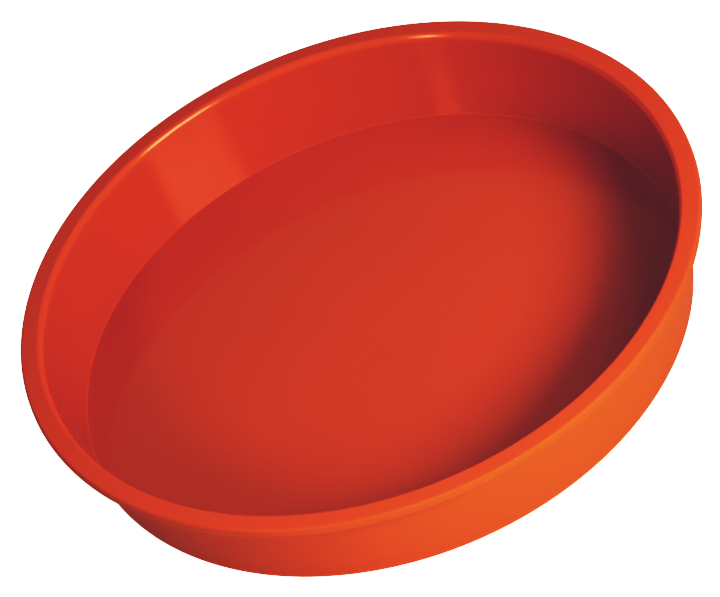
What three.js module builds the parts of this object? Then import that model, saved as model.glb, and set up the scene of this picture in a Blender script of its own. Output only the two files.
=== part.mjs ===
// Round silicone baking pan: a flat floor, a plain wall that flares towards the mouth, and a flat rim.
// A steel wire ring lies in a channel under the rim and keeps the soft rim round and level.
// A silicone strip closes the channel below the ring, flush with the underside of the rim.
// Millimetres, +Z up. The origin is the middle of the underside of the floor.

import * as THREE from "three";

// The pan.
const MOUTH_DIAMETER = 260; // inside, where the line of the wall meets the top of the rim
const FLOOR_DIAMETER = 249; // inside, where the line of the wall meets the floor
const DEPTH = 40; // from the top of the rim down to the floor
const FLOOR_THICKNESS = 2.3;
const WALL_THICKNESS = 1.8; // square to the wall
const RIM_WIDTH = 8.7; // level, from the mouth to the outer edge

// The stiffening ring and the silicone around it.
const WIRE_DIAMETER = 2;
const RIM_SKIN = 1.2; // above the channel
const STRIP_THICKNESS = 0.9;
const RING_CLEARANCE = 0.3; // all round the wire
const STRIP_CLEARANCE = 0.3; // on each side of the strip, for the bond

// Rounded edges and hollow corners.
const BASE_EDGE_RADIUS = 2; // under the foot of the wall
const RIM_ROOT_RADIUS = 1; // hollow, where the rim leaves the wall
const RIM_EDGE_RADIUS = 1.2; // both outer edges of the rim
const LIP_RADIUS = 2.2; // where the top of the rim turns down into the mouth
const FLOOR_CORNER_RADIUS = 1.2; // hollow, where the wall meets the floor

// Facets.
const FACETS_AROUND = 96;
const WIRE_SIDES = 12;
const ARC_STEPS = 4;

// Colours and finishes.
const SILICONE_COLOUR = 0xdc3e26;
const SILICONE_ROUGHNESS = 0.35;
const STEEL_COLOUR = 0xb9babd;
const STEEL_ROUGHNESS = 0.3;

// Places that follow from the sizes.
const mouthRadius = MOUTH_DIAMETER / 2;
const floorRadius = FLOOR_DIAMETER / 2;
const height = FLOOR_THICKNESS + DEPTH;
const flare = (mouthRadius - floorRadius) / DEPTH; // outward, for each millimetre up the wall
const wallAcross = WALL_THICKNESS * Math.hypot(1, flare); // level distance through the wall
const rimRadius = mouthRadius + RIM_WIDTH;
const channelTop = height - RIM_SKIN;
const wireMiddle = channelTop - RING_CLEARANCE - WIRE_DIAMETER / 2;
const stripTop = wireMiddle - WIRE_DIAMETER / 2 - RING_CLEARANCE;
const rimUnderside = stripTop - STRIP_THICKNESS;
const ringRadius = (wallOutside(rimUnderside) + rimRadius) / 2; // midway across the underside
const channelHalfWidth = WIRE_DIAMETER / 2 + RING_CLEARANCE;
const stripHalfWidth = channelHalfWidth - STRIP_CLEARANCE;

// Radius of the outside of the wall at a height.
function wallOutside(z) {
  return floorRadius + (z - FLOOR_THICKNESS) * flare + wallAcross;
}

// A profile with rounded corners. Each corner is a radius from the axis, a height and a rounding.
// A rounding is an arc that touches both edges of its corner and takes half of an edge at most.
function roundedProfile(corners) {
  const sharp = corners.map(([r, z]) => new THREE.Vector2(r, z));
  return corners.flatMap(([, , rounding], i) => {
    const corner = sharp[i];
    if (!rounding) {
      return [corner];
    }
    const before = sharp[i - 1].clone().sub(corner);
    const after = sharp[i + 1].clone().sub(corner);
    const halfAngle = before.angleTo(after) / 2;
    const wanted = rounding / Math.tan(halfAngle);
    const reach = Math.min(wanted, before.length() / 2, after.length() / 2);
    before.setLength(reach);
    after.setLength(reach);
    const toCentre = before.clone().add(after);
    const centre = toCentre.setLength(reach / Math.cos(halfAngle)).add(corner);
    const start = before.add(corner);
    const end = after.add(corner);
    const startArm = start.clone().sub(centre);
    const endArm = end.clone().sub(centre);
    const turn = startArm.angleTo(endArm) * Math.sign(startArm.cross(endArm));
    return Array.from({ length: ARC_STEPS + 1 }, (_, step) =>
      start.clone().rotateAround(centre, (turn * step) / ARC_STEPS),
    );
  });
}

// A profile turned round the upright axis.
function turned(profile) {
  return new THREE.LatheGeometry(profile, FACETS_AROUND).rotateX(Math.PI / 2);
}

// Soft moulded silicone with a slight gloss.
function silicone() {
  return new THREE.MeshStandardMaterial({
    color: SILICONE_COLOUR,
    roughness: SILICONE_ROUGHNESS,
    metalness: 0,
  });
}

// Drawn stainless wire.
function steel() {
  return new THREE.MeshStandardMaterial({
    color: STEEL_COLOUR,
    roughness: STEEL_ROUGHNESS,
    metalness: 1,
  });
}

// Floor, wall and rim in one moulding, from the middle of the underside round to the middle of the floor.
function panBody() {
  const channelInside = ringRadius - channelHalfWidth;
  const channelOutside = ringRadius + channelHalfWidth;
  const profile = roundedProfile([
    [0, 0, 0],
    [wallOutside(0), 0, BASE_EDGE_RADIUS],
    [wallOutside(rimUnderside), rimUnderside, RIM_ROOT_RADIUS],
    [channelInside, rimUnderside, 0],
    [channelInside, channelTop, 0],
    [channelOutside, channelTop, 0],
    [channelOutside, rimUnderside, 0],
    [rimRadius, rimUnderside, RIM_EDGE_RADIUS],
    [rimRadius, height, RIM_EDGE_RADIUS],
    [mouthRadius, height, LIP_RADIUS],
    [floorRadius, FLOOR_THICKNESS, FLOOR_CORNER_RADIUS],
    [0, FLOOR_THICKNESS, 0],
  ]);
  const mesh = new THREE.Mesh(turned(profile), silicone());
  mesh.name = "pan_body";
  return mesh;
}

// Wire bent to a circle, its ends welded.
function rimRing() {
  const wire = new THREE.TorusGeometry(ringRadius, WIRE_DIAMETER / 2, WIRE_SIDES, FACETS_AROUND);
  const mesh = new THREE.Mesh(wire, steel());
  mesh.name = "rim_ring";
  mesh.position.z = wireMiddle;
  return mesh;
}

// Flat strip in the mouth of the channel, below the wire.
function rimStrip() {
  const inside = ringRadius - stripHalfWidth;
  const outside = ringRadius + stripHalfWidth;
  const profile = roundedProfile([
    [inside, rimUnderside, 0],
    [outside, rimUnderside, 0],
    [outside, stripTop, 0],
    [inside, stripTop, 0],
    [inside, rimUnderside, 0],
  ]);
  const mesh = new THREE.Mesh(turned(profile), silicone());
  mesh.name = "rim_strip";
  return mesh;
}

const bakingPan = new THREE.Group();
bakingPan.name = "baking_pan";
bakingPan.add(panBody(), rimRing(), rimStrip());

export default bakingPan;
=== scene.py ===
# %% [markdown]
# # A round silicone baking pan
# The real pan is a soft moulding with a flat floor, a plain wall that opens a little towards the mouth,
# and a flat rim. A steel wire ring lies in a channel under the rim, and a silicone strip closes the
# channel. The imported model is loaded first: it is the fixed frame, in metres, that every piece fits.

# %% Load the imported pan
import math

import bpy
import numpy as np
from mathutils import Matrix, Vector


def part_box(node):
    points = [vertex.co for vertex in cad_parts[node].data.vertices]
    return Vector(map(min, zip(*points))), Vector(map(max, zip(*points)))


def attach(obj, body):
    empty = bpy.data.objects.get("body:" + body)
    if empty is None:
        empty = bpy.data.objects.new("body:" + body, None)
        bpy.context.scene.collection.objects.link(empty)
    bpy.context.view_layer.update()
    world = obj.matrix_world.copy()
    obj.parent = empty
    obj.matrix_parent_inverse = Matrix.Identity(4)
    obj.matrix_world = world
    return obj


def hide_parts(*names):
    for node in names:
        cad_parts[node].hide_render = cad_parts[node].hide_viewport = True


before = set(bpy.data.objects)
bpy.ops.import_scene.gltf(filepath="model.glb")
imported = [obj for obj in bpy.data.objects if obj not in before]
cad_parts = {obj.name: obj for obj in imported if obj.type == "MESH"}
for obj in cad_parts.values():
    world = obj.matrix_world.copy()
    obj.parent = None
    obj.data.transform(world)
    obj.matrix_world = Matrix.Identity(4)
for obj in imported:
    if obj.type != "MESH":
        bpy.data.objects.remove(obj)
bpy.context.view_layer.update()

MILLIMETRES_IN_METRE = 1000


def in_millimetres(lengths):
    """Lengths in metres as rounded millimetres, for printing."""
    return [round(MILLIMETRES_IN_METRE * length, 2) for length in lengths]


print("nodes:", ", ".join(sorted(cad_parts)))

# %% [markdown]
# The sizes that the frame can tell are read from its boxes, so that a new model.glb carries through to
# every piece made here. The sizes that a box can't tell, such as the mouth and the thickness of the wall,
# are repeated as named values.

# %% Sizes of the pan
MILLIMETRE = 0.001

pan_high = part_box("pan_body")[1]
ring_low, ring_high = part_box("rim_ring")
strip_low, strip_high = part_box("rim_strip")

RIM_RADIUS = pan_high.x
PAN_HEIGHT = pan_high.z
RIM_UNDERSIDE = strip_low.z
STRIP_TOP = strip_high.z
WIRE_RADIUS = (ring_high.z - ring_low.z) / 2
WIRE_HEIGHT = (ring_high.z + ring_low.z) / 2
RING_RADIUS = ring_high.x - WIRE_RADIUS

MOUTH_RADIUS = 130 * MILLIMETRE
FLOOR_RADIUS = 124.5 * MILLIMETRE
FLOOR_THICKNESS = 2.3 * MILLIMETRE
WALL_THICKNESS = 1.8 * MILLIMETRE
CHANNEL_CLEARANCE = 0.3 * MILLIMETRE

flare = (MOUTH_RADIUS - FLOOR_RADIUS) / (PAN_HEIGHT - FLOOR_THICKNESS)
wall_across = WALL_THICKNESS * math.hypot(1, flare)
channel_half_width = WIRE_RADIUS + CHANNEL_CLEARANCE
channel_top = WIRE_HEIGHT + channel_half_width


def wall_outside(height):
    """Radius of the outside of the wall at a height.

    It is the radius of the floor, plus the flare times the height above the floor, plus the level
    distance through the wall.
    """
    return FLOOR_RADIUS + (height - FLOOR_THICKNESS) * flare + wall_across


print("rim radius, height and ring radius in mm:", in_millimetres((RIM_RADIUS, PAN_HEIGHT, RING_RADIUS)))

# %% [markdown]
# The photograph looks down at the pan at about 42 degrees through a long lens, with the camera leaning to
# one side, so the mouth is a slanted ellipse. The camera is placed by its aim, its distance, its
# elevation and its lean, because these are the things a photographer changes. The lens is given by its
# focal length in pixels of a picture 720 wide.

# %% Camera
PICTURE_WIDTH = 720
FOCAL_PIXELS = 4300
SENSOR_WIDTH = 36
CAMERA_AIM = Vector((-3.450 * MILLIMETRE, -21.043 * MILLIMETRE, PAN_HEIGHT))
CAMERA_DISTANCE = 1665.13 * MILLIMETRE
CAMERA_ELEVATION = math.radians(41.655)
CAMERA_AZIMUTH = math.radians(0.159)
CAMERA_LEAN = math.radians(22.562)
NEAREST_SEEN = 0.1
FARTHEST_SEEN = 50


def direction(azimuth, elevation):
    """Unit vector from the pan: azimuth 0 is towards the viewer along -Y and turns towards +X."""
    level = math.cos(elevation)
    return Vector((math.sin(azimuth) * level, -math.cos(azimuth) * level, math.sin(elevation)))


backward = direction(CAMERA_AZIMUTH, CAMERA_ELEVATION)
level_right = Vector((math.cos(CAMERA_AZIMUTH), math.sin(CAMERA_AZIMUTH), 0))
plain_up = backward.cross(level_right)
lean_up = math.cos(CAMERA_LEAN) * plain_up + math.sin(CAMERA_LEAN) * level_right
lean_right = lean_up.cross(backward)

camera_data = bpy.data.cameras.new("camera")
camera_data.sensor_width = SENSOR_WIDTH
camera_data.lens = FOCAL_PIXELS / PICTURE_WIDTH * SENSOR_WIDTH
camera_data.clip_start = NEAREST_SEEN
camera_data.clip_end = FARTHEST_SEEN
camera = bpy.data.objects.new("camera", camera_data)
bpy.context.scene.collection.objects.link(camera)
turn = Matrix((lean_right, lean_up, backward)).transposed().to_4x4()
camera.matrix_world = Matrix.Translation(CAMERA_AIM + CAMERA_DISTANCE * backward) @ turn
bpy.context.scene.camera = camera
print("camera at", [round(x, 4) for x in camera.matrix_world.translation], "lens", camera_data.lens)

# %% [markdown]
# Every piece of this pan is a profile carried round a circle. The profile is drawn as a few corners, each
# with its rounding, as on a drawing for the mould. It could be a bevelled cylinder, but the bevels would
# then follow the mesh and not the drawing. The straight runs between the roundings get points that crowd
# towards their ends, which keeps the shading of the flats clean.

# %% Profiles with rounded corners
ARC_POINTS = 9


def rounded_corner(before, corner, after, rounding):
    """Arc of the given radius that touches both edges of a corner.

    Its centre lies on the bisector at the radius over the sine of half the corner's angle, and it starts
    and ends on the edges at the radius over the tangent of that half angle.
    """
    if rounding == 0:
        return corner[None, :]
    arm_in = (before - corner) / np.linalg.norm(before - corner)
    arm_out = (after - corner) / np.linalg.norm(after - corner)
    half = np.arccos(np.clip(arm_in @ arm_out, -1, 1)) / 2
    bisector = (arm_in + arm_out) / np.linalg.norm(arm_in + arm_out)
    centre = corner + bisector * rounding / np.sin(half)
    start = corner + arm_in * rounding / np.tan(half) - centre
    end = corner + arm_out * rounding / np.tan(half) - centre
    sweep = np.arctan2(start[0] * end[1] - start[1] * end[0], start @ end)
    turns = np.arctan2(start[1], start[0]) + sweep * np.linspace(0, 1, ARC_POINTS)
    return centre + rounding * np.stack([np.cos(turns), np.sin(turns)], axis=1)


def rounded_profile(corners):
    """Points along a profile, as radius and height.

    Each corner is a radius, a height, a rounding and the number of steps in the straight run after it.
    A run's points are at half of one minus the cosine of equal angles, so they crowd at its two ends.
    """
    places = np.array([[corner[0], corner[1]] for corner in corners])
    arcs = [places[:1]]
    for i in range(1, len(corners) - 1):
        arcs.append(rounded_corner(places[i - 1], places[i], places[i + 1], corners[i][2]))
    arcs.append(places[-1:])
    points = []
    for arc, following, corner in zip(arcs[:-1], arcs[1:], corners[:-1]):
        share = (1 - np.cos(np.pi * np.arange(1, corner[3]) / corner[3])) / 2
        run = arc[-1] + share[:, None] * (following[0] - arc[-1])
        points += [arc, run]
    return np.concatenate(points + [arcs[-1]])


print("points in each rounding:", ARC_POINTS)

# %% [markdown]
# A mesh made from a grid of points needs only two facts: how the rows join, and what happens at the ends.
# On the pan, the first and last points of the profile lie on the axis, so each is a single point with a
# fan of triangles. On the ring and the strip, the profile closes on itself. Both are written into the
# mesh as whole arrays.

# %% Meshes from grids
STEPS_ROUND = 384


def ring_faces(rows, closed):
    """Four corners for each cell of a grid of rows by steps round, which joins up round the axis."""
    row = np.arange(rows if closed else rows - 1)[:, None]
    step = np.arange(STEPS_ROUND)[None, :]
    next_row = (row + 1) % rows
    next_step = (step + 1) % STEPS_ROUND
    cells = [row * STEPS_ROUND + step, row * STEPS_ROUND + next_step,
             next_row * STEPS_ROUND + next_step, next_row * STEPS_ROUND + step]
    return np.stack([np.broadcast_to(c, (len(row), STEPS_ROUND)) for c in cells], axis=-1).reshape(-1, 4)


def smooth_mesh(name, points, faces):
    """Object at the origin whose mesh has these points and faces, shaded smooth."""
    mesh = bpy.data.meshes.new(name)
    mesh.from_pydata(points.tolist(), [], faces)
    mesh.polygons.foreach_set("use_smooth", np.ones(len(mesh.polygons), dtype=bool))
    mesh.update()
    piece = bpy.data.objects.new(name, mesh)
    bpy.context.scene.collection.objects.link(piece)
    return piece


def point_values(piece, name, values):
    """Stores one number for each point of a piece, for its material to read."""
    piece.data.attributes.new(name, "FLOAT", "POINT").data.foreach_set("value", values.astype(np.float32))


angles_round = 2 * np.pi * np.arange(STEPS_ROUND) / STEPS_ROUND
print("steps round:", STEPS_ROUND)

# %% [markdown]
# ## The moulding
# Floor, wall and rim are one piece of silicone. Its profile runs from the middle of the underside, out
# and up the wall, round the rim with the ring's channel in its underside, and down the inside to the
# middle of the floor. A short sloped lip joins the top of the rim to the wall, and it catches the bright
# lines that the photograph shows there. Two things are added that a plain lathe shape lacks: the thin
# flash line on the side of the rim, where the two halves of the mould met, and the slight crown of the
# rim's top.

# %% Profile of the moulding
BASE_EDGE_ROUNDING = 2 * MILLIMETRE
RIM_ROOT_ROUNDING = 1 * MILLIMETRE
RIM_EDGE_ROUNDING = 1.2 * MILLIMETRE
RIM_LOWER_ROUNDING = 1.9 * MILLIMETRE
LIP_SLOPE = math.radians(55.5)
LIP_LENGTH = 2.2 * MILLIMETRE
LIP_UPPER_ROUNDING = 1.5 * MILLIMETRE
LIP_LOWER_ROUNDING = 2.2 * MILLIMETRE
FLOOR_CORNER_ROUNDING = 0.35 * MILLIMETRE
CHANNEL_ROUNDING = 0.15 * MILLIMETRE
FLASH_HEIGHT = 2.1 * MILLIMETRE
FLASH_REACH = 0.08 * MILLIMETRE
FLASH_HALF_WIDTH = 0.16 * MILLIMETRE
RIM_CROWN = 0.07 * MILLIMETRE

flash_middle = RIM_UNDERSIDE + FLASH_HEIGHT
lip_drop = LIP_LENGTH * math.sin(LIP_SLOPE)
lip_end = MOUTH_RADIUS - flare * lip_drop
lip_start = lip_end + LIP_LENGTH * math.cos(LIP_SLOPE)
channel_inside = RING_RADIUS - channel_half_width
channel_outside = RING_RADIUS + channel_half_width


def crowned_rim(profile):
    """Profile whose rim is lowered towards both its edges.

    The drop is the crown times the square of the distance from the middle of the rim over half its width.
    It fades out from the top of the rim down to its underside, and it leaves the wall and floor alone.
    """
    middle = (RIM_RADIUS + MOUTH_RADIUS) / 2
    half_width = (RIM_RADIUS - MOUTH_RADIUS) / 2
    share = np.clip((profile[:, 1] - RIM_UNDERSIDE) / (PAN_HEIGHT - RIM_UNDERSIDE), 0, 1)
    drop = RIM_CROWN * np.clip(np.abs(profile[:, 0] - middle) / half_width, 0, 1) ** 2
    return np.stack([profile[:, 0], profile[:, 1] - share * drop], axis=1)


# Radius, height and rounding of each corner, and the steps in the straight run that follows it.
pan_profile = crowned_rim(rounded_profile([
    (0, 0, 0, 14),
    (wall_outside(0), 0, BASE_EDGE_ROUNDING, 20),
    (wall_outside(RIM_UNDERSIDE), RIM_UNDERSIDE, RIM_ROOT_ROUNDING, 3),
    (channel_inside, RIM_UNDERSIDE, CHANNEL_ROUNDING, 3),
    (channel_inside, channel_top, CHANNEL_ROUNDING, 3),
    (channel_outside, channel_top, CHANNEL_ROUNDING, 3),
    (channel_outside, RIM_UNDERSIDE, CHANNEL_ROUNDING, 4),
    (RIM_RADIUS, RIM_UNDERSIDE, RIM_LOWER_ROUNDING, 2),
    (RIM_RADIUS, flash_middle - FLASH_HALF_WIDTH, 0, 2),
    (RIM_RADIUS + FLASH_REACH, flash_middle, 0, 2),
    (RIM_RADIUS, flash_middle + FLASH_HALF_WIDTH, 0, 6),
    (RIM_RADIUS, PAN_HEIGHT, RIM_EDGE_ROUNDING, 10),
    (lip_start, PAN_HEIGHT, LIP_UPPER_ROUNDING, 4),
    (lip_end, PAN_HEIGHT - lip_drop, LIP_LOWER_ROUNDING, 24),
    (FLOOR_RADIUS, FLOOR_THICKNESS, FLOOR_CORNER_ROUNDING, 22),
    (0, FLOOR_THICKNESS, 0, 0),
]))
print("points in the moulding's profile:", len(pan_profile))

# %% [markdown]
# The profile is now carried round the axis. A soft wall of this size is never quite round, so two slow
# waves, a twentieth of a millimetre high, are added to its radius. A Displace modifier could do it, but a
# formula leaves the floor and the rim exactly as they are drawn.

# %% Surface of the moulding
WALL_UNEVENNESS = 0.05 * MILLIMETRE

# Lobes round the pan, share of the unevenness and starting angle of each wave.
UNEVEN_WAVES = ((3, 1.0, 0.6), (5, 0.6, 2.1))


def soft_wall(radius, height, angle):
    """Radius of a wall that isn't quite round.

    Sine waves of few lobes are added, largest halfway up the wall and nothing at the floor and the rim,
    where the corner and the ring hold it.
    """
    share = np.clip(height / RIM_UNDERSIDE, 0, 1)
    waves = sum(strength * np.sin(lobes * angle + start) for lobes, strength, start in UNEVEN_WAVES)
    return radius + WALL_UNEVENNESS * np.sin(np.pi * share) ** 2 * waves


def turned_shell(name, profile):
    """Shell whose profile starts and ends on the axis.

    A point is its radius times the cosine and the sine of the angle, at its own height.
    """
    radius, height = profile[1:-1, 0, None], profile[1:-1, 1, None]
    round_radius = soft_wall(radius, height, angles_round)
    rings = np.stack([round_radius * np.cos(angles_round), round_radius * np.sin(angles_round),
                      np.broadcast_to(height, round_radius.shape)], axis=-1).reshape(-1, 3)
    poles = np.array([[0, 0, profile[0, 1]], [0, 0, profile[-1, 1]]])
    rows = len(radius)
    step = np.arange(STEPS_ROUND)
    next_step = (step + 1) % STEPS_ROUND
    under = np.stack([np.full(STEPS_ROUND, rows * STEPS_ROUND), next_step, step], axis=1)
    last = (rows - 1) * STEPS_ROUND
    over = np.stack([np.full(STEPS_ROUND, rows * STEPS_ROUND + 1), last + step, last + next_step], axis=1)
    faces = ring_faces(rows, closed=False).tolist() + under.tolist() + over.tolist()
    return smooth_mesh(name, np.concatenate([rings, poles]), faces)


moulding = turned_shell("moulded_pan", pan_profile)
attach(moulding, "root")
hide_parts("pan_body")
print("moulding:", len(moulding.data.vertices), "points,", len(moulding.data.polygons), "faces")

# %% [markdown]
# Thin silicone lets some light through and sends less of it back, so it looks a little deeper than a
# thick piece. The wall's darker colour is partly that and partly painted shade, which makes the wall
# darker than the floor and the rim. The material can't tell how thick the moulding is, so each point of
# the mesh stores a number for it. An attribute like this follows the drawing, which a painted mask would
# not.

# %% Thin and thick silicone, with painted shade


def thin_shade_share(radius, height):
    """Share of thin silicone at a radius and a height.

    It is 1 along the wall and falls to 0 at the floor and at the rim. It rises to 1 again across the
    rounding of the rim's edge, which is painted shade that darkens the bright band on that rounding.
    """
    above_floor = np.clip((height - FLOOR_THICKNESS) / FLOOR_CORNER_ROUNDING, 0, 1)
    below_rim = np.clip((PAN_HEIGHT - lip_drop - height) / lip_drop, 0, 1)
    # Painted shade on the rounding of the rim's edge.
    edge_shade = np.clip((radius - RIM_RADIUS + RIM_EDGE_ROUNDING) / RIM_EDGE_ROUNDING, 0, 1)
    return np.maximum(above_floor * below_rim, edge_shade)


row_thin_shade = thin_shade_share(pan_profile[1:-1, 0], pan_profile[1:-1, 1])
thin_shade_at_poles = [0, 0]
# The number thin at each point carries painted shade: a darker wall and a darker rounding on the rim's
# edge.
point_values(moulding, "thin", np.concatenate([np.repeat(row_thin_shade, STEPS_ROUND), thin_shade_at_poles]))
print("rows of thin silicone:", int((row_thin_shade > 0).sum()), "of", len(row_thin_shade))

# %% [markdown]
# ## The ring
# The ring is a drawn steel wire bent to a circle, its two ends butted and welded, so the wire is a little
# thicker at one place. Blender's own torus has the same thickness all round, so the ring is worked out
# as a small circle carried round a large one. A number at each point says how near the weld is.

# %% Wire ring
WIRE_STEPS = 24
WELD_BULGE = 0.12 * MILLIMETRE
WELD_HALF_LENGTH = 1.6 * MILLIMETRE
HEATED_HALF_LENGTH = 4 * WELD_HALF_LENGTH
WELD_ANGLE = math.radians(200)

weld_distance = RING_RADIUS * np.abs((angles_round - WELD_ANGLE + np.pi) % (2 * np.pi) - np.pi)


def wire_ring(name):
    """Torus whose wire swells at the weld by a bell curve of the distance along the wire."""
    turn = 2 * np.pi * np.arange(WIRE_STEPS)[:, None] / WIRE_STEPS
    swell = WIRE_RADIUS + WELD_BULGE * np.exp(-(weld_distance / WELD_HALF_LENGTH) ** 2)
    radius = RING_RADIUS + swell * np.cos(turn)
    height = WIRE_HEIGHT + swell * np.sin(turn)
    points = np.stack([radius * np.cos(angles_round), radius * np.sin(angles_round), height], axis=-1)
    return smooth_mesh(name, points.reshape(-1, 3), ring_faces(WIRE_STEPS, closed=True).tolist())


ring = wire_ring("stiffening_ring")
point_values(ring, "weld", np.tile(np.exp(-(weld_distance / HEATED_HALF_LENGTH) ** 2), WIRE_STEPS))
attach(ring, "root")
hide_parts("rim_ring")
print("ring faces:", len(ring.data.polygons))

# %% [markdown]
# ## The strip
# The strip is laid in the mouth of the channel over the wire and bonded, which leaves a hairline on each
# side. It is a closed profile carried round the same circle as the channel. Its lower face is a little
# hollow, so that the hairlines show and the strip doesn't look like part of the rim.

# %% Closing strip
SEAM_WIDTH = 0.06 * MILLIMETRE
STRIP_ROUNDING = 0.12 * MILLIMETRE
STRIP_HOLLOW = 0.05 * MILLIMETRE


def closing_strip(name):
    """Closed band round the axis.

    Its profile is a rounded rectangle, and its lower face is hollowed by a shallow cosine between its
    edges.
    """
    half = channel_half_width - SEAM_WIDTH
    inside, outside = RING_RADIUS - half, RING_RADIUS + half
    profile = rounded_profile([
        (RING_RADIUS, RIM_UNDERSIDE, 0, 6),
        (outside, RIM_UNDERSIDE, STRIP_ROUNDING, 3),
        (outside, STRIP_TOP, STRIP_ROUNDING, 6),
        (inside, STRIP_TOP, STRIP_ROUNDING, 3),
        (inside, RIM_UNDERSIDE, STRIP_ROUNDING, 6),
        (RING_RADIUS, RIM_UNDERSIDE, 0, 0),
    ])[:-1]
    across = (profile[:, 0] - RING_RADIUS) / half
    lower = profile[:, 1] < (RIM_UNDERSIDE + STRIP_TOP) / 2
    height = profile[:, 1] + lower * STRIP_HOLLOW * (1 + np.cos(np.pi * across)) / 2
    points = np.stack([profile[:, :1] * np.cos(angles_round), profile[:, :1] * np.sin(angles_round),
                       np.broadcast_to(height[:, None], (len(profile), STEPS_ROUND))], axis=-1)
    return smooth_mesh(name, points.reshape(-1, 3), ring_faces(len(profile), closed=True).tolist())


strip = closing_strip("closing_strip")
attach(strip, "root")
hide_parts("rim_strip")
print("strip faces:", len(strip.data.polygons))

# %% [markdown]
# ## The silicone
# Moulded silicone copies the skin of its mould: a very fine grain, a colour that drifts a little with the
# pigment, and a gloss that comes and goes where it was handled. Each of these is noise of its own size.
# A few helpers come first. They put a node into a tree, set its values and link it, so that the recipes
# below stay short.

# %% Helpers for shader nodes
NOISE_LOW = 0.3
NOISE_HIGH = 0.7


def add_node(tree, kind, values=(), **settings):
    """Node of a kind with its settings, and values for its inputs given by name or number."""
    node = tree.nodes.new("ShaderNode" + kind)
    for key, value in settings.items():
        setattr(node, key, value)
    for key, value in dict(values).items():
        node.inputs[key].default_value = value
    return node


def noise(tree, place, size, detail):
    """Noise whose features are about this many millimetres across, with some layers of finer detail."""
    node = add_node(tree, "TexNoise", {"Scale": MILLIMETRES_IN_METRE / size, "Detail": detail})
    tree.links.new(place, node.inputs["Vector"])
    return node.outputs["Fac"]


def remap(tree, value, low, high):
    """Noise carried from its usual range to a range from low to high."""
    bounds = {"From Min": NOISE_LOW, "From Max": NOISE_HIGH, "To Min": low, "To Max": high}
    node = add_node(tree, "MapRange", bounds, clamp=True)
    tree.links.new(value, node.inputs["Value"])
    return node.outputs["Result"]


def combine(tree, operation, first, second=0):
    """One Math node on a socket and, where it takes two, a second value that is a socket or a number."""
    node = add_node(tree, "Math", operation=operation)
    tree.links.new(first, node.inputs[0])
    if isinstance(second, (int, float)):
        node.inputs[1].default_value = second
    else:
        tree.links.new(second, node.inputs[1])
    return node.outputs[0]


print("noise is read from", NOISE_LOW, "to", NOISE_HIGH)

# %% [markdown]
# The pan and the strip share this skin, so it is one node group. It works in millimetres on the object's
# own coordinates, and puts out a colour, a roughness and a height. The colour runs from that of thick
# silicone to the darker colour of thin silicone, which is partly painted shade, and the drift of the
# pigment moves it a little along the same way.

# %% Node group for moulded silicone

# Sizes are in millimetres. The drifts and the strength are shares of the way from thick to thin; the
# strength sets the painted shade of thin silicone.
PIGMENT_SIZE = 45
PIGMENT_DRIFT = 0.10
SPECKLE_SIZE = 0.9
SPECKLE_DRIFT = 0.06
THIN_SHADE_STRENGTH = 0.84
HANDLED_SIZE = 18
HANDLED_CHANGE = 0.03
GRAIN_SIZE = 0.35


def new_group(name, inputs, outputs):
    """Empty shader node group with named sockets, and its input and output nodes."""
    group = bpy.data.node_groups.new(name, "ShaderNodeTree")
    for side_of_group, sockets in (("INPUT", inputs), ("OUTPUT", outputs)):
        for socket_name, kind in sockets:
            group.interface.new_socket(socket_name, in_out=side_of_group, socket_type="NodeSocket" + kind)
    return group, group.nodes.new("NodeGroupInput"), group.nodes.new("NodeGroupOutput")


skin, skin_in, skin_out = new_group(
    "moulded_silicone",
    [("Place", "Vector"), ("Thick colour", "Color"), ("Thin colour", "Color"), ("Thin", "Float"),
     ("Roughness", "Float")],
    [("Colour", "Color"), ("Roughness", "Float"), ("Height", "Float")],
)
place = skin_in.outputs["Place"]
pigment = remap(skin, noise(skin, place, PIGMENT_SIZE, detail=2), 0, PIGMENT_DRIFT)
speckle = remap(skin, noise(skin, place, SPECKLE_SIZE, detail=2), 0, SPECKLE_DRIFT)
drift = combine(skin, "ADD", pigment, speckle)
# Painted shade: where the mesh says thin, the colour goes towards the darker thin colour.
painted_thin_shade = combine(skin, "MULTIPLY", skin_in.outputs["Thin"], THIN_SHADE_STRENGTH)
shade_and_pigment = combine(skin, "ADD", painted_thin_shade, drift)
tint = add_node(skin, "Mix", data_type="RGBA")
skin.links.new(shade_and_pigment, tint.inputs["Factor"])
skin.links.new(skin_in.outputs["Thick colour"], tint.inputs["A"])
skin.links.new(skin_in.outputs["Thin colour"], tint.inputs["B"])
skin.links.new(tint.outputs["Result"], skin_out.inputs["Colour"])
handled = remap(skin, noise(skin, place, HANDLED_SIZE, detail=3), -HANDLED_CHANGE, HANDLED_CHANGE)
skin.links.new(combine(skin, "ADD", skin_in.outputs["Roughness"], handled), skin_out.inputs["Roughness"])
skin.links.new(noise(skin, place, GRAIN_SIZE, detail=3), skin_out.inputs["Height"])
print("silicone group:", len(skin.nodes), "nodes")

# %% [markdown]
# The inside of the pan is polished so that a cake lets go, and the outside is left satin. Each is its own
# material with its own gloss. The thin wall is a little more orange outside than inside, which is painted
# light: the warm orange of the lit outer wall. The reflections of the real silicone are warm and not
# white, which the tint of the specular layer gives.
# Light that goes from silicone to silicone grows redder and brighter here than in the photograph, so a
# ray that has already bounced meets only a share of the colour. The bump is only some micrometres deep.

# %% Silicone materials
THICK_COLOUR = (0.66, 0.0945, 0.0190, 1)
# The thin colours are painted shade, darker than the thick colour. The outside one is also painted light,
# a warmer orange for the lit outer wall.
THIN_SHADED_INSIDE = (0.52, 0.0720, 0.0155, 1)
THIN_SHADED_WARM_OUTSIDE = (0.52, 0.0845, 0.0125, 1)
GLOSS_TINT = (1.0, 0.25, 0.18, 1)
BOUNCE_SHARE = (0.5, 0.5, 0.5, 1)
GRAIN_DEPTH = 0.004 * MILLIMETRE


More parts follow.
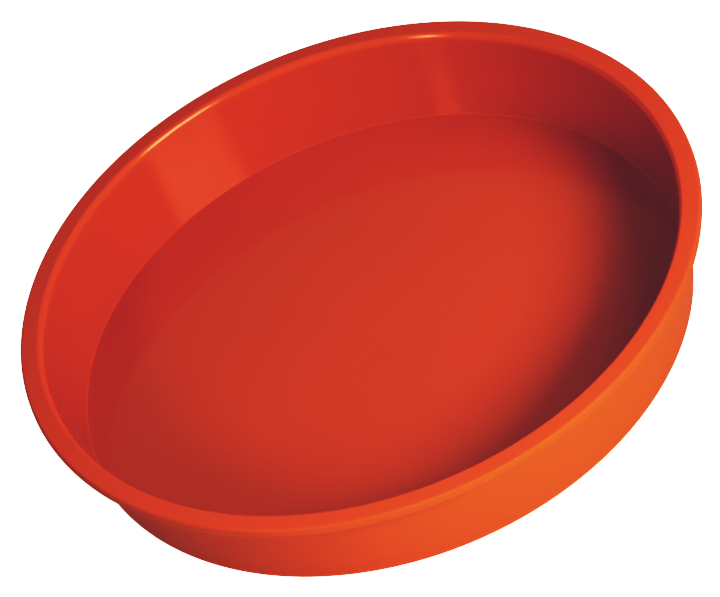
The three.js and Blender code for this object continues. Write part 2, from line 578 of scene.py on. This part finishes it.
def silicone_material(name, thin_shade_colour, roughness, ior):
    """Material of moulded silicone with the colour of its thin wall, its mean roughness and its gloss."""
    material = bpy.data.materials.new(name)
    material.use_nodes = True
    tree = material.node_tree
    shader = tree.nodes["Principled BSDF"]
    where = tree.nodes.new("ShaderNodeTexCoord")
    surface = add_node(tree, "Group", node_tree=skin)
    tree.links.new(where.outputs["Object"], surface.inputs["Place"])
    # The attribute thin brings in the painted shade of the wall and of the rim's edge.
    thin = add_node(tree, "Attribute", attribute_name="thin")
    tree.links.new(thin.outputs["Fac"], surface.inputs["Thin"])
    surface.inputs["Thick colour"].default_value = THICK_COLOUR
    surface.inputs["Thin colour"].default_value = thin_shade_colour
    surface.inputs["Roughness"].default_value = roughness
    bump = add_node(tree, "Bump", {"Strength": 1.0, "Distance": GRAIN_DEPTH})
    tree.links.new(surface.outputs["Height"], bump.inputs["Height"])
    tree.links.new(bump.outputs["Normal"], shader.inputs["Normal"])
    ray = tree.nodes.new("ShaderNodeLightPath")
    bounced = add_node(tree, "Mix", {"B": BOUNCE_SHARE}, data_type="RGBA", blend_type="MULTIPLY")
    tree.links.new(ray.outputs["Is Diffuse Ray"], bounced.inputs["Factor"])
    tree.links.new(surface.outputs["Colour"], bounced.inputs["A"])
    tree.links.new(bounced.outputs["Result"], shader.inputs["Base Color"])
    tree.links.new(surface.outputs["Roughness"], shader.inputs["Roughness"])
    shader.inputs["IOR"].default_value = ior
    shader.inputs["Specular Tint"].default_value = GLOSS_TINT
    return material


satin_silicone = silicone_material("satin_silicone", THIN_SHADED_WARM_OUTSIDE, roughness=0.42, ior=1.13)
polished_silicone = silicone_material("polished_silicone", THIN_SHADED_INSIDE, roughness=0.14, ior=1.62)
moulding.data.materials.append(satin_silicone)
moulding.data.materials.append(polished_silicone)
strip.data.materials.append(satin_silicone)
print("silicone materials:", [material.name for material in moulding.data.materials])

# %% [markdown]
# The polish begins where the top of the rim turns into the lip. The faces were made row by row along the
# profile, so a whole row takes one material. The fan in the middle of the underside is satin, and the fan
# in the middle of the floor is polished.

# %% Satin outside and polished inside
profile_row = np.arange(len(pan_profile) - 1)
row_polished = (profile_row >= np.argmax(pan_profile[:, 1])) & (pan_profile[:-1, 0] < lip_start)
ring_choice = np.repeat(row_polished[1:-1], STEPS_ROUND)
face_choice = np.concatenate([ring_choice, np.zeros(STEPS_ROUND), np.ones(STEPS_ROUND)]).astype(np.int32)
moulding.data.polygons.foreach_set("material_index", face_choice)
print("polished faces:", int(face_choice.sum()), "of", len(face_choice))

# %% [markdown]
# ## The steel
# Drawn wire has fine lines along its length, and the weld leaves a brown heat tint. The lines are noise
# that reads only the distance from the axis and the height, so it stays the same along the wire. Near
# the weld, the mesh's own mask brings in the tint.

# %% Steel material
STEEL_COLOUR = (0.60, 0.60, 0.61, 1)
STEEL_DULL = (0.46, 0.46, 0.48, 1)
HEAT_TINT = (0.44, 0.30, 0.17, 1)
DRAWN_LINE_MILLIMETRES = 0.12
STEEL_SMOOTHEST = 0.22
STEEL_ROUGHEST = 0.38

steel = bpy.data.materials.new("drawn_steel")
steel.use_nodes = True
steel_tree = steel.node_tree
steel_shader = steel_tree.nodes["Principled BSDF"]
steel_where = steel_tree.nodes.new("ShaderNodeTexCoord")
steel_split = steel_tree.nodes.new("ShaderNodeSeparateXYZ")
steel_tree.links.new(steel_where.outputs["Object"], steel_split.inputs[0])
across_x = combine(steel_tree, "POWER", steel_split.outputs["X"], 2)
across_y = combine(steel_tree, "POWER", steel_split.outputs["Y"], 2)
from_axis = combine(steel_tree, "SQRT", combine(steel_tree, "ADD", across_x, across_y))
section = steel_tree.nodes.new("ShaderNodeCombineXYZ")
steel_tree.links.new(from_axis, section.inputs["X"])
steel_tree.links.new(steel_split.outputs["Z"], section.inputs["Y"])
drawn = noise(steel_tree, section.outputs[0], DRAWN_LINE_MILLIMETRES, detail=2)
dulling = add_node(steel_tree, "Mix", {"A": STEEL_COLOUR, "B": STEEL_DULL}, data_type="RGBA")
steel_tree.links.new(remap(steel_tree, drawn, 0, 1), dulling.inputs["Factor"])
weld_mask = add_node(steel_tree, "Attribute", attribute_name="weld")
heated = add_node(steel_tree, "Mix", {"B": HEAT_TINT}, data_type="RGBA")
steel_tree.links.new(weld_mask.outputs["Fac"], heated.inputs["Factor"])
steel_tree.links.new(dulling.outputs["Result"], heated.inputs["A"])
steel_tree.links.new(heated.outputs["Result"], steel_shader.inputs["Base Color"])
steel_roughness = remap(steel_tree, drawn, STEEL_SMOOTHEST, STEEL_ROUGHEST)
steel_tree.links.new(steel_roughness, steel_shader.inputs["Roughness"])
steel_shader.inputs["Metallic"].default_value = 1.0
ring.data.materials.append(steel)
print("steel:", len(steel_tree.nodes), "nodes")

# %% [markdown]
# ## The film
# A photograph doesn't show light in plain proportion: it deepens the darks, flattens the brights, and a
# little stray light lifts its black. Blender's colour management has a curve for each colour, which does
# this without touching the materials. What is shown is a veil plus the shoulder times one minus an
# exponential, whose exponent is minus the exposure raised to the steepness. A film with more speed in
# green gives the warm orange of the lit side. Above that, the curve goes on to the white of the paper.

# %% Film curve

# The range is the exposure at the right end of the curves, and white is the one that shows as white.
FILM_RANGE = 8.0
FILM_WHITE = 5.0
FILM_STEEPNESS = 2.1
FILM_SHOULDER = 0.82
FILM_SPEED = (1.0, 1.15, 1.0)
FILM_VEIL = (0.0150, 0.0110, 0.0170)
FILM_LEVELS = (0.06, 0.15, 0.3, 0.5, 0.7, 0.9, 1.1, 1.35, 1.65, 2.0)
FILM_BRIGHT_LEVEL = 3.4
FILM_BRIGHT_SHOWN = 0.92

view = bpy.context.scene.view_settings
view.view_transform = "Standard"
view.look = "None"
view.use_curve_mapping = True
film = view.curve_mapping
film.white_level = (FILM_RANGE, FILM_RANGE, FILM_RANGE)
for film_curve, speed, veil in zip(film.curves, FILM_SPEED, FILM_VEIL):
    film_curve.points[0].location = (0, veil)
    film_curve.points[1].location = (1, 1)
    for level in FILM_LEVELS:
        shown = veil + FILM_SHOULDER * (1 - math.exp(-level ** FILM_STEEPNESS))
        film_curve.points.new(level / speed / FILM_RANGE, shown)
    film_curve.points.new(FILM_BRIGHT_LEVEL / speed / FILM_RANGE, FILM_BRIGHT_SHOWN)
    film_curve.points.new(FILM_WHITE / speed / FILM_RANGE, 1.0)
film.update()
paper_white = [FILM_WHITE / speed for speed in FILM_SPEED]
print("film curve points:", len(film.curves[0].points))

# %% [markdown]
# ## The studio
# The pan stands on a plain pale floor. To the camera the floor is as white as paper, and to the light
# that falls on the pan it is a plain grey, which sends back less. The floor is one-sided for the camera
# and casts no shadow, so the underside of the pan can be looked at from below.

# %% Floor
FLOOR_HALF = 4.0
FLOOR_GAP = 0.2 * MILLIMETRE
FLOOR_COLOUR = (0.54, 0.54, 0.54, 1)
FLOOR_ROUGHNESS = 0.9

floor_corners = FLOOR_HALF * np.array([[-1, -1, 0], [1, -1, 0], [1, 1, 0], [-1, 1, 0]])
floor_corners[:, 2] = -FLOOR_GAP
studio_floor = smooth_mesh("studio_floor", floor_corners, [[0, 1, 2, 3]])
studio_floor.visible_shadow = False

paper = bpy.data.materials.new("pale_paper")
paper.use_nodes = True
paper_tree = paper.node_tree
paper_shader = paper_tree.nodes["Principled BSDF"]
paper_shader.inputs["Base Color"].default_value = FLOOR_COLOUR
paper_shader.inputs["Roughness"].default_value = FLOOR_ROUGHNESS
paper_shader.inputs["Specular IOR Level"].default_value = 0.0
seen_white = add_node(paper_tree, "Emission", {"Color": (*paper_white, 1), "Strength": 1.0})
seen_lit = paper_tree.nodes.new("ShaderNodeAddShader")
paper_tree.links.new(seen_white.outputs[0], seen_lit.inputs[0])
paper_tree.links.new(paper_shader.outputs[0], seen_lit.inputs[1])
unseen = paper_tree.nodes.new("ShaderNodeBsdfTransparent")
paper_ray = paper_tree.nodes.new("ShaderNodeLightPath")
paper_side = paper_tree.nodes.new("ShaderNodeNewGeometry")
to_camera = paper_tree.nodes.new("ShaderNodeMixShader")
paper_tree.links.new(paper_ray.outputs["Is Camera Ray"], to_camera.inputs[0])
paper_tree.links.new(paper_shader.outputs[0], to_camera.inputs[1])
paper_tree.links.new(seen_lit.outputs[0], to_camera.inputs[2])
one_sided = paper_tree.nodes.new("ShaderNodeMixShader")
paper_tree.links.new(paper_side.outputs["Backfacing"], one_sided.inputs[0])
paper_tree.links.new(to_camera.outputs[0], one_sided.inputs[1])
paper_tree.links.new(unseen.outputs[0], one_sided.inputs[2])
paper_tree.links.new(one_sided.outputs[0], paper_tree.nodes["Material Output"].inputs["Surface"])
studio_floor.data.materials.append(paper)
print("floor:", 2 * FLOOR_HALF, "m wide,", len(paper_tree.nodes), "nodes")

# %% [markdown]
# The light of the photograph comes mostly from the right and the front. A strong softbox at the front
# right throws the shade inside the pan. A panel on each side and two smaller softboxes soften it, and a
# large panel behind lights the rim. The low lamps behind the pan and the panel below it light the sides
# that the photograph doesn't show. A lamp that shows in reflections draws a streak on the polished wall
# and a bright line on the lip. The photograph has only a few of these, so most lamps show in none.

# %% Lamps
PAN_MIDDLE = Vector((0, 0, PAN_HEIGHT / 2))

# Name, azimuth and elevation in degrees, distance, width and height in metres, power in watts, and
# whether the lamp shows in reflections.
SOFTBOXES = (
    ("key_softbox", 40, 29.5, 0.72, 0.33, 0.16, 8.9, True),
    ("side_panel", 80, 41, 0.90, 0.60, 0.44, 5.2, False),
    ("front_softbox", 5, 18, 0.42, 0.26, 0.10, 1.65, False),
    ("fill_softbox", -55, 33, 0.90, 0.10, 0.20, 3.3, True),
    ("left_panel", -92, 25, 0.90, 0.50, 0.25, 1.7, False),
    ("back_panel", 180, 42, 1.60, 1.10, 0.60, 2.1, True),
    ("rear_panel", 180, 6, 1.30, 1.00, 0.12, 5.0, False),
    ("rear_strip_right", 145, 2, 1.00, 0.70, 0.08, 5.0, False),
    ("rear_strip_left", -145, 2, 1.00, 0.70, 0.08, 5.0, False),
    ("under_panel", 0, -90, 0.60, 0.50, 0.50, 7.0, False),
)


def softbox(name, place, size, power, mirrored):
    """Area lamp at a place, its height upright, turned to face the middle of the pan."""
    lamp = bpy.data.lights.new(name, "AREA")
    lamp.shape = "RECTANGLE"
    lamp.size, lamp.size_y = size
    lamp.energy = power
    holder = bpy.data.objects.new(name, lamp)
    bpy.context.scene.collection.objects.link(holder)
    holder.location = place
    holder.rotation_mode = "QUATERNION"
    holder.rotation_quaternion = (place - PAN_MIDDLE).to_track_quat("Z", "Y")
    holder.visible_camera = False
    holder.visible_glossy = mirrored


for lamp_name, azimuth, elevation, distance, width, height, power, mirrored in SOFTBOXES:
    toward = direction(math.radians(azimuth), math.radians(elevation))
    softbox(lamp_name, PAN_MIDDLE + distance * toward, (width, height), power, mirrored)
print("lamps:", [row[0] for row in SOFTBOXES])

# %% [markdown]
# Beyond the floor lies the backdrop, which is as white as the floor to the camera. It could be one bright
# world, but its light would fill the shade inside the pan. So every ray but the camera's meets only a
# faint even light.

# %% Backdrop
AMBIENT_COLOUR = (1, 1, 1, 1)
AMBIENT_STRENGTH = 0.02

world = bpy.data.worlds.new("studio")
world.use_nodes = True
world_tree = world.node_tree
ambient = world_tree.nodes["Background"]
ambient.inputs["Color"].default_value = AMBIENT_COLOUR
ambient.inputs["Strength"].default_value = AMBIENT_STRENGTH
seen_backdrop = world_tree.nodes.new("ShaderNodeBackground")
seen_backdrop.inputs["Color"].default_value = (*paper_white, 1)
world_ray = world_tree.nodes.new("ShaderNodeLightPath")
world_mix = world_tree.nodes.new("ShaderNodeMixShader")
world_tree.links.new(world_ray.outputs["Is Camera Ray"], world_mix.inputs[0])
world_tree.links.new(ambient.outputs[0], world_mix.inputs[1])
world_tree.links.new(seen_backdrop.outputs[0], world_mix.inputs[2])
world_tree.links.new(world_mix.outputs[0], world_tree.nodes["World Output"].inputs["Surface"])
bpy.context.scene.world = world
print("backdrop:", len(world_tree.nodes), "nodes, ambient strength", AMBIENT_STRENGTH)
